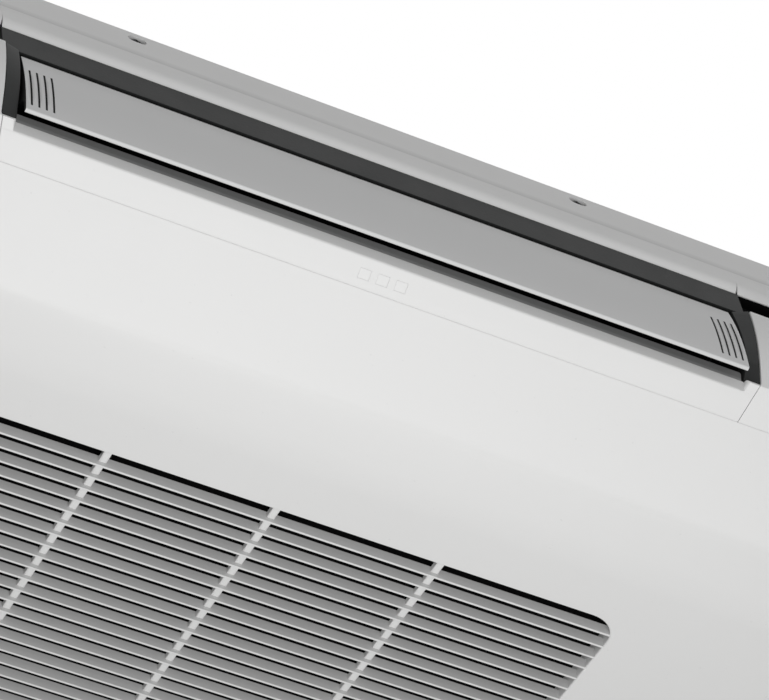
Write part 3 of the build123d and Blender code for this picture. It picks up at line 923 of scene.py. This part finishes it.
@dataclass
class FrontStrip:
    """Strip under the outlet, its raised ends and the three small windows."""

    finishes: Finishes
    ledge_y: float = -320.4
    ledge_bottom_z: float = -163.0
    ledge_reach: float = 1.3
    ledge_depth: float = 0.3
    ledge_steps: int = 5
    ledge_end_x: float = 238.5
    lower_slope: float = 0.62
    end_start_x: float = 242.4
    end_top_z: float = -156.0
    end_radius: float = 3.4
    end_angle: float = 30.0
    edge_radius: float = 0.5
    window_radius: float = 0.2
    window_scale: float = 0.93
    window_reach: float = 30.0
    outward: Vector = field(default_factory=lambda: Vector((0.0, -0.62, -0.78)))

    def draw_windows_in(self, *pieces: Workpiece) -> None:
        """Shrink the windows and their pockets about the middle of the row.

        Args:
            pieces: The windows first, then the strip.
        """
        faces = [spot_of(f) for f in pieces[0].mesh.faces if f.normal.dot(self.outward) > FACING]
        middle = sum(faces, Vector()) / len(faces) * MM
        for piece in pieces:
            row = [v for v in piece.mesh.verts if abs(v.co.x) < self.window_reach * MM]
            bmesh.ops.scale(piece.mesh, verts=row, vec=(self.window_scale,) * 3,
                            space=Matrix.Translation(-middle))

    def soften_ledge(self, work: Workpiece) -> None:
        """Round the long edge between the ledge and the strip's slope.

        Args:
            work: The strip.
        """
        steps = [k / self.ledge_steps * self.ledge_reach for k in range(1, self.ledge_steps + 1)]
        cuts = [self.ledge_bottom_z + step for step in steps]
        cuts += [self.ledge_bottom_z - step * self.lower_slope for step in steps]
        work.slice_at(*(("z", cut) for cut in cuts))
        work.slice_at(("x", -self.ledge_end_x), ("x", self.ledge_end_x), low=min(cuts), high=max(cuts))
        outward = self.outward.normalized()
        inwards = (Vector((0.0, 1.0, 0.0)) - outward).normalized() * self.ledge_depth * MM
        corner = Vector((0.0, self.ledge_y, self.ledge_bottom_z))
        for vert in work.mesh.verts:
            spot = vert.co / MM
            over = spot.z - self.ledge_bottom_z
            away = over if over > 0 else -over / self.lower_slope
            depth = (spot - corner).dot(outward)
            on_skin = abs(spot.y - self.ledge_y) < NEAR if over > 0 else abs(depth) < 0.15
            if away < self.ledge_reach and on_skin and abs(spot.x) < self.end_start_x - 0.2:
                vert.co += inwards * (1 - away / self.ledge_reach) ** 2

    def at_end_front(self, edge: bmesh.types.BMEdge) -> bool:
        """Tell whether an edge bounds the front of a raised end, towards the blade or the strip.

        Args:
            edge: Edge of the strip.

        Returns:
            True for such an edge.
        """
        spot = middle_of(edge)
        if spot.y > self.ledge_y - NEAR or spot.z < self.ledge_bottom_z:
            return False
        run = run_of(edge)
        inner = abs(abs(spot.x) - self.end_start_x) < NEAR and run.z > 1.0
        top = run.x > 5.0 and spot.z > self.end_top_z - NEAR
        return inner or top

    def build(self) -> None:
        """Make the strip and the windows."""
        work = Workpiece("front_strip_skin").copy_node("front_strip")
        lenses = Workpiece("window_lenses").copy_node("display_windows")
        self.draw_windows_in(lenses, work)
        work.round_edges(self.end_radius, 5, self.end_angle, self.at_end_front)
        self.soften_ledge(work)
        work.round_edges(self.edge_radius)
        # Ledge faces under the flap get the painted shade; the rest stays plain white.
        for face in work.mesh.faces:
            spot = spot_of(face)
            face.material_index = int(face.normal.y < -FACING and spot.z > self.ledge_bottom_z - NEAR
                                      and abs(spot.x) < self.end_start_x)
        work.finish(Body.CASING, Slot.CASING_WHITE,
                    [self.finishes.of(Slot.CASING_WHITE), self.finishes.ledge_painted_shade], ("front_strip",))
        lenses.round_edges(self.window_radius, 2)
        lenses.finish(Body.CASING, Slot.LENS_WHITE, [self.finishes.of(Slot.LENS_WHITE)],
                      ("display_windows",))


@dataclass
class Intake:
    """Bent underside panel with the grille, the filter behind it and its rails."""

    finishes: Finishes
    opening_radius: float = 2.4
    opening_z: float = -234.9
    opening_half: float = 300.0
    opening_front_y: float = -200.0
    seam_z: float = -175.0
    seam_lift: float = 0.28
    seam_radius: float = 0.4
    slat_edge_radius: float = 0.22
    slat_edge_length: float = 12.0
    painted_shade_facing: float = 0.8
    filter_radius: float = 0.4
    rib_low_z: float = -232.0
    rib_steps: tuple[tuple[float, float], ...] = ((0.35, 0.45), (0.5, 0.3), (0.7, 0.1))

    def at_opening(self, edge: bmesh.types.BMEdge) -> bool:
        """Tell whether an edge bounds the panel's opening on the underside.

        Args:
            edge: Edge of the panel.

        Returns:
            True for such an edge.
        """
        spot = middle_of(edge)
        inside = abs(spot.x) < self.opening_half and spot.y > self.opening_front_y
        upright = any(abs(f.normal.z) < 0.3 for f in edge.link_faces)
        return spot.z < self.opening_z and inside and upright

    def panel(self) -> None:
        """Underside panel with a softly rounded opening."""
        work = Workpiece("intake_panel_skin").copy_node("intake_panel")
        for vert in work.mesh.verts:
            if abs(vert.co.z / MM - self.seam_z) < NEAR:
                vert.co.z += self.seam_lift * MM
        work.round_edges(self.opening_radius, 5, test=self.at_opening)
        work.round_edges(self.seam_radius, test=lambda e: middle_of(e).z > self.seam_z - 1)
        work.finish(Body.CASING, Slot.CASING_WHITE, [self.finishes.of(Slot.CASING_WHITE)],
                    ("intake_panel",))

    def grille(self) -> None:
        """Slats and ribs with softened edges."""
        work = Workpiece("intake_grille_skin").copy_node("intake_grille")
        work.round_edges(self.slat_edge_radius, 2,
                         test=lambda e: e.calc_length() > self.slat_edge_length * MM)
        ribs = [f for f in work.mesh.faces if f.normal.z < -FACING
                and abs(spot_of(f).z - self.rib_low_z) < NEAR]
        for inwards, down in self.rib_steps:
            bmesh.ops.inset_individual(work.mesh, faces=ribs, thickness=inwards * MM, depth=down * MM,
                                       use_even_offset=True)
        # Slat faces that look forward or back get the painted shade; tips and ribs stay plain white.
        for face in work.mesh.faces:
            face.material_index = int(abs(face.normal.y) > self.painted_shade_facing)
        work.finish(Body.CASING, Slot.CASING_WHITE,
                    [self.finishes.of(Slot.CASING_WHITE), self.finishes.slat_painted_shade], ("intake_grille",))

    def filter(self) -> None:
        """Filter and rails with crisp, slightly rounded edges."""
        for node in ("air_filter", "filter_rail_left", "filter_rail_right"):
            work = Workpiece(f"{node}_skin").copy_node(node)
            work.round_edges(self.filter_radius, 2)
            work.finish(Body.CASING, slot_of(node), [self.finishes.of(slot_of(node))], (node,))

    def build(self) -> None:
        """Make the panel, the grille and the filter."""
        self.panel()
        self.grille()
        self.filter()


@dataclass
class OutletFlap:
    """Curved blade with finger slots near its ends, on dark carriers with hubs and pins."""

    finishes: Finishes
    half_length: float = 240.0
    top: tuple[float, float] = (-308.6, -86.5)
    bottom: tuple[float, float] = (-332.4, -154.0)
    thickness: float = 3.0
    slot_margin: float = 3.6
    slot_pitch: float = 4.7
    slot_count: int = 4
    slot_width: float = 1.3
    slot_low_z: float = -148.4
    slot_high_z: float = -106.2
    slot_area: float = 90.0
    slot_depth: float = 0.9

    def height_over_chord(self, spot: Vector) -> float:
        """How far a point stands in front of the blade's chord.

        Args:
            spot: The point, in millimetres.

        Returns:
            The distance in millimetres.
        """
        run_y, run_z = self.bottom[0] - self.top[0], self.bottom[1] - self.top[1]
        length = math.hypot(run_y, run_z)
        return ((spot.y - self.top[0]) * run_z - (spot.z - self.top[1]) * run_y) / length

    def in_slot(self, face: bmesh.types.BMFace) -> bool:
        """Tell whether a face is a wall or floor of a finger slot.

        Args:
            face: Face of the blade.

        Returns:
            True for such a face.
        """
        spot = spot_of(face)
        if not self.slot_low_z - 0.2 < spot.z < self.slot_high_z + 0.2:
            return False
        step = (self.half_length - self.slot_margin - abs(spot.x)) / self.slot_pitch
        nearest = round(step)
        near = abs(step - nearest) * self.slot_pitch < self.slot_width / 2 + 0.05
        return (0 <= nearest < self.slot_count and near and face.calc_area() < self.slot_area * MM * MM
                and self.height_over_chord(spot) > -self.slot_depth)

    def is_dark(self, face: bmesh.types.BMFace) -> bool:
        """Tell whether a face belongs to a slot, an end or a carrier.

        Args:
            face: Face of the blade.

        Returns:
            True for a dark face.
        """
        spot = spot_of(face)
        at_end = abs(face.normal.x) > FACING and abs(spot.x) > self.half_length - 0.5
        return at_end or self.in_slot(face) or self.height_over_chord(spot) < -self.thickness - NEAR

    def build(self) -> None:
        """Make the blade."""
        work = Workpiece("flap_blade").copy_node("flap")
        for face in work.mesh.faces:
            face.material_index = int(self.is_dark(face))
        # The blade's white is darkened as painted shade.
        work.finish(Body.FLAP, Slot.CASING_WHITE,
                    [self.finishes.blade_painted_shade_white, self.finishes.of(Slot.OUTLET_DARK)], ("flap",))


@dataclass
class AirPath:
    """Duct roof, drain pan, vanes and their link, and the coil as a stack of fins on tubes."""

    finishes: Finishes
    fin_pitch: float = 2.4
    fin_thickness: float = 0.45
    tube_radius: float = 4.0
    tube_rows: int = 7
    tube_columns: int = 2
    tube_sides: int = 16
    tube_stagger: float = 0.25

    def mouldings(self) -> None:
        """Rounded copies of the duct's mouldings."""
        for node, radius in (("duct_roof", 0.4), ("drain_pan", 1.0), ("vertical_vanes", 0.5),
                             ("vane_link", 0.4)):
            work = Workpiece(f"{node}_skin").copy_node(node)
            work.round_edges(radius, 2)
            work.finish(Body.CASING, slot_of(node), [self.finishes.of(slot_of(node))], (node,))

    def coil(self) -> None:
        """Thin fins across the coil's block, strung on round tubes."""
        work = Workpiece("coil_fin_stack").copy_node("coil")
        ends = [f for f in work.mesh.faces if f.normal.x < -FACING]
        corners = [v.co.copy() for v in ends[0].verts]
        low_x, high_x = (c.x / MM for c in map(Vector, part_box("coil")))
        bmesh.ops.delete(work.mesh, geom=[f for f in work.mesh.faces if f not in ends], context="FACES")
        first = bmesh.ops.extrude_face_region(work.mesh, geom=work.mesh.faces[:])["geom"]
        bmesh.ops.translate(work.mesh, vec=(self.fin_thickness * MM, 0, 0),
                            verts=[g for g in first if isinstance(g, bmesh.types.BMVert)])
        bmesh.ops.recalc_face_normals(work.mesh, faces=work.mesh.faces)
        fin = [*work.mesh.verts, *work.mesh.edges, *work.mesh.faces]
        for k in range(1, int((high_x - low_x - self.fin_thickness) // self.fin_pitch) + 1):
            copy = bmesh.ops.duplicate(work.mesh, geom=fin)["geom"]
            bmesh.ops.translate(work.mesh, vec=(k * self.fin_pitch * MM, 0, 0),
                                verts=[g for g in copy if isinstance(g, bmesh.types.BMVert)])
        corners.sort(key=lambda c: c.z)
        low_pair, high_pair = sorted(corners[:2], key=lambda c: c.y), sorted(corners[2:], key=lambda c: c.y)
        for row in range(self.tube_rows):
            for column in range(self.tube_columns):
                up = (row + 0.5 + self.tube_stagger * (-1) ** column) / self.tube_rows
                across = (column + 0.5) / self.tube_columns
                near = low_pair[0].lerp(high_pair[0], up)
                rear = low_pair[1].lerp(high_pair[1], up)
                middle = near.lerp(rear, across)
                middle.x = (low_x + high_x) / 2 * MM
                place = Matrix.Translation(middle) @ Matrix.Rotation(math.pi / 2, 4, "Y")
                bmesh.ops.create_cone(work.mesh, cap_ends=True, segments=self.tube_sides,
                                      radius1=self.tube_radius * MM, radius2=self.tube_radius * MM,
                                      depth=(high_x - low_x) * MM, matrix=place)
        work.finish(Body.CASING, Slot.COIL_FINS, [self.finishes.of(Slot.COIL_FINS)], ("coil",))

    def build(self) -> None:
        """Make everything in the air path."""
        self.mouldings()
        self.coil()


@dataclass
class Chassis:
    """Steel plates, hangers and rear wall with their beads, screws and grommets."""

    finishes: Finishes
    edge_radius: float = 0.5
    plate_radius: float = 0.4
    wall_radius: float = 0.35
    press_angle: float = 60.0
    sheet: float = 2.5
    bead_depth: float = 0.9
    skin: float = 1.0
    ceiling_bead_y: tuple[float, ...] = (-190.0, -50.0, 110.0, 250.0)
    ceiling_bead_half: tuple[float, float] = (320.0, 7.0)
    side_bead_x: tuple[float, float] = (-365.0, 365.0)
    side_bead_y: tuple[float, float] = (-40.0, 100.0)
    side_bead_half: tuple[float, float] = (6.0, 30.0)
    rear_bead_z: tuple[float, float] = (-60.0, -110.0)
    rear_bead_half: tuple[float, float] = (240.0, 8.0)
    dimple_half: float = 7.0
    dimple_depth: float = 1.6
    dimple_slope: float = 2.0
    rear_screw_x: tuple[float, ...] = (-385.0, -230.0, -77.0, 77.0, 230.0, 385.0)
    rear_screw_z: tuple[float, float] = (-14.0, -163.0)
    rear_screw: tuple[float, float, float] = (3.6, 1.0, 0.7)
    pipe_spot: tuple[float, float] = (330.0, -110.0)
    pipe_radius: float = 30.4
    cable_spot: tuple[float, float] = (-330.0, -110.0)
    cable_radius: float = 10.4
    grommet_body: float = 1.7
    grommet_shift: float = 0.5

    def plain_sheets(self) -> None:
        """Rounded copies of the inner steel parts."""
        for node in ("hanger_left", "hanger_right", "chassis_plate_left", "chassis_plate_right",
                     "coil_end_left", "coil_end_right"):
            work = Workpiece(f"{node}_skin").copy_node(node)
            work.round_edges(self.edge_radius, 2)
            work.finish(Body.CASING, slot_of(node), [self.finishes.of(slot_of(node))], (node,))

    def ceiling_plate(self) -> None:
        """Ceiling plate with long beads pressed into its upper side."""
        work = Workpiece("back_plate_skin").copy_node("back_plate")
        beads = [(0.0, y, *self.ceiling_bead_half) for y in self.ceiling_bead_y]
        beads += [(x, y, *self.side_bead_half) for x in self.side_bead_x for y in self.side_bead_y]
        for x, y, half_x, half_y in beads:
            work.press_bead((x - half_x, y - half_y, -self.skin), (x + half_x, y + half_y, self.skin),
                            (0, 0, 1), self.bead_depth)
        work.round_edges(self.plate_radius, 2, self.press_angle)
        work.finish(Body.CASING, slot_of("back_plate"), [self.finishes.of(slot_of("back_plate"))],
                    ("back_plate",))

    def rear_wall(self) -> None:
        """Rear wall with beads and screws in pressed dimples."""
        rear_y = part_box("rear_panel")[1][1] / MM
        work = Workpiece("rear_panel_skin").copy_node("rear_panel")
        dimple = (self.dimple_half, self.dimple_half)
        presses = [(0.0, z, self.rear_bead_half, (self.bead_depth,)) for z in self.rear_bead_z]
        presses += [(x, z, dimple, (self.dimple_depth, self.dimple_slope))
                    for x in self.rear_screw_x for z in self.rear_screw_z]
        for x, z, (half_x, half_z), sizes in presses:
            work.press_bead((x - half_x, rear_y - self.skin, z - half_z),
                            (x + half_x, rear_y + self.skin, z + half_z), (0, 1, 0), *sizes)
        work.round_edges(self.wall_radius, 2, self.press_angle)
        slot = slot_of("rear_panel")
        work.finish(Body.CASING, slot, [self.finishes.of(slot)], ("rear_panel",))
        screws = Workpiece("rear_screws")
        for x in self.rear_screw_x:
            for z in self.rear_screw_z:
                screws.add_screw((x, rear_y - self.dimple_depth, z), (0, 1, 0), *self.rear_screw)
        screws.finish(Body.CASING, Slot.ZINC_STEEL, [self.finishes.screw])
        self.grommets(rear_y - self.sheet / 2)

    def grommets(self, wall_y: float) -> None:
        """Rubber rings round the pipe and cable openings.

        Args:
            wall_y: Place of the middle of the rear wall, in millimetres.
        """
        for name, spot, radius in (("pipe_grommet", self.pipe_spot, self.pipe_radius),
                                   ("cable_grommet", self.cable_spot, self.cable_radius)):
            work = Workpiece(name)
            work.add_ring((spot[0], wall_y - self.grommet_shift, spot[1]), (0, 1, 0), radius,
                          self.grommet_body)
            work.finish(Body.CASING, Slot.OUTLET_DARK, [self.finishes.rubber])

    def build(self) -> None:
        """Make the steel parts."""
        self.plain_sheets()
        self.ceiling_plate()
        self.rear_wall()


@dataclass(frozen=True)
class Lamp:
    """Soft square lamp: its place, the point that it faces, its side in metres and its power in watts."""

    name: str
    spot: tuple[float, float, float]
    aim: tuple[float, float, float]
    size: float
    power: float

    def build(self) -> None:
        """Make the lamp."""
        data = bpy.data.lights.new(self.name, "AREA")
        data.shape = "SQUARE"
        data.size = self.size
        data.energy = self.power
        lamp = bpy.data.objects.new(self.name, data)
        turn = (Vector(self.aim) - Vector(self.spot)).to_track_quat("-Z", "Y")
        lamp.matrix_world = Matrix.Translation(Vector(self.spot)) @ turn.to_matrix().to_4x4()
        lamp.visible_camera = False
        bpy.context.scene.collection.objects.link(lamp)


@dataclass
class Studio:
    """Camera at the photograph's angle, soft lamps and a pale floor."""

    eye: Vector = field(default_factory=lambda: Vector((-0.7478, -1.9842, -1.9388)))
    look: Vector = field(default_factory=lambda: Vector((0.299164, 0.666265, 0.683075)))
    roll: float = 2.23
    focal_px: float = 4256.86
    frame_width: int = 769
    sensor: float = 36.0
    floor_z: float = -2.6
    floor_half: float = 6.0
    ambient: float = 0.36
    lamps: tuple[Lamp, ...] = (
        Lamp("under_lamp", (-0.03, -0.90, -1.38), (0.0, -0.2, -0.2), 0.9, 11.3),
        Lamp("front_lamp", (0.0, -2.9, -1.55), (0.0, -0.3, -0.1), 1.2, 4.0),
        Lamp("rear_lamp_left", (-2.0, 1.7, 1.7), (0.0, 0.1, -0.1), 1.4, 17.0),
        Lamp("rear_lamp_right", (2.0, 1.7, 1.7), (0.0, 0.1, -0.1), 1.4, 17.0),
    )

    def camera(self) -> None:
        """Place the camera."""
        data = bpy.data.cameras.new("photo_camera")
        data.sensor_fit = "HORIZONTAL"
        data.sensor_width = self.sensor
        data.lens = self.focal_px * self.sensor / self.frame_width
        data.clip_start = 0.05
        data.clip_end = 50.0
        camera = bpy.data.objects.new("photo_camera", data)
        turn = self.look.to_track_quat("-Z", "Y") @ Quaternion((0, 0, 1), math.radians(self.roll))
        camera.matrix_world = Matrix.Translation(self.eye) @ turn.to_matrix().to_4x4()
        bpy.context.scene.collection.objects.link(camera)
        bpy.context.scene.camera = camera

    def world(self) -> None:
        """White surroundings for the eye and for reflections, softer light for the rest."""
        world = bpy.data.worlds.new("studio_world")
        world.use_nodes = True
        bpy.context.scene.world = world
        tree = world.node_tree
        tree.nodes.clear()
        path = tree.nodes.new("ShaderNodeLightPath")
        seen = path.outputs["Is Camera Ray"]
        for ray in ("Is Glossy Ray", "Is Transmission Ray"):
            either = tree.nodes.new("ShaderNodeMath")
            either.operation = "MAXIMUM"
            tree.links.new(seen, either.inputs[0])
            tree.links.new(path.outputs[ray], either.inputs[1])
            seen = either.outputs[0]
        mix = tree.nodes.new("ShaderNodeMixShader")
        tree.links.new(seen, mix.inputs[0])
        for place, strength in ((1, self.ambient), (2, 1.0)):
            sky = tree.nodes.new("ShaderNodeBackground")
            sky.inputs["Color"].default_value = (1.0, 1.0, 1.0, 1.0)
            sky.inputs["Strength"].default_value = strength
            tree.links.new(sky.outputs[0], mix.inputs[place])
        output = tree.nodes.new("ShaderNodeOutputWorld")
        tree.links.new(mix.outputs[0], output.inputs[0])

    def floor(self) -> None:
        """Pale floor that is clear when it is seen from underneath."""
        mesh = bpy.data.meshes.new("studio_floor")
        work = bmesh.new()
        bmesh.ops.create_grid(work, x_segments=1, y_segments=1, size=self.floor_half,
                              matrix=Matrix.Translation((0, 0, self.floor_z)))
        work.to_mesh(mesh)
        work.free()
        graph = Graph("floor_paint")
        behind = graph.node("ShaderNodeNewGeometry", output="Backfacing")
        clear = graph.node("ShaderNodeBsdfTransparent")
        tone = graph.blend(graph.noise(1.5), (0.80, 0.80, 0.79), (0.84, 0.84, 0.83))
        paint = graph.node("ShaderNodeBsdfPrincipled", None, {"Base Color": tone, "Roughness": 0.6})
        mixed = graph.node("ShaderNodeMixShader", None, {0: behind, 1: paint, 2: clear})
        graph.node("ShaderNodeOutputMaterial", None, {0: mixed})
        mesh.materials.append(graph.material)
        floor = bpy.data.objects.new("studio_floor", mesh)
        bpy.context.scene.collection.objects.link(floor)

    def build(self) -> None:
        """Set the whole studio up."""
        bpy.context.scene.view_settings.view_transform = "Standard"
        self.camera()
        for lamp in self.lamps:
            lamp.build()
        self.world()
        self.floor()


def main() -> None:
    """Build the studio, then each sub-assembly."""
    logging.basicConfig(level=logging.INFO, format="%(message)s")
    Studio().build()
    finishes = Finishes()
    for name, node in frame["nodes"].items():
        node.data.materials.clear()
        node.data.materials.append(finishes.of(slot_of(name)))
    for assembly in (TopRim, SideCovers, OutletFrame, FrontStrip, Intake, OutletFlap, AirPath, Chassis):
        assembly(finishes).build()
        LOG.info("%s is built", assembly.__name__)


if __name__ == "__main__":
    main()
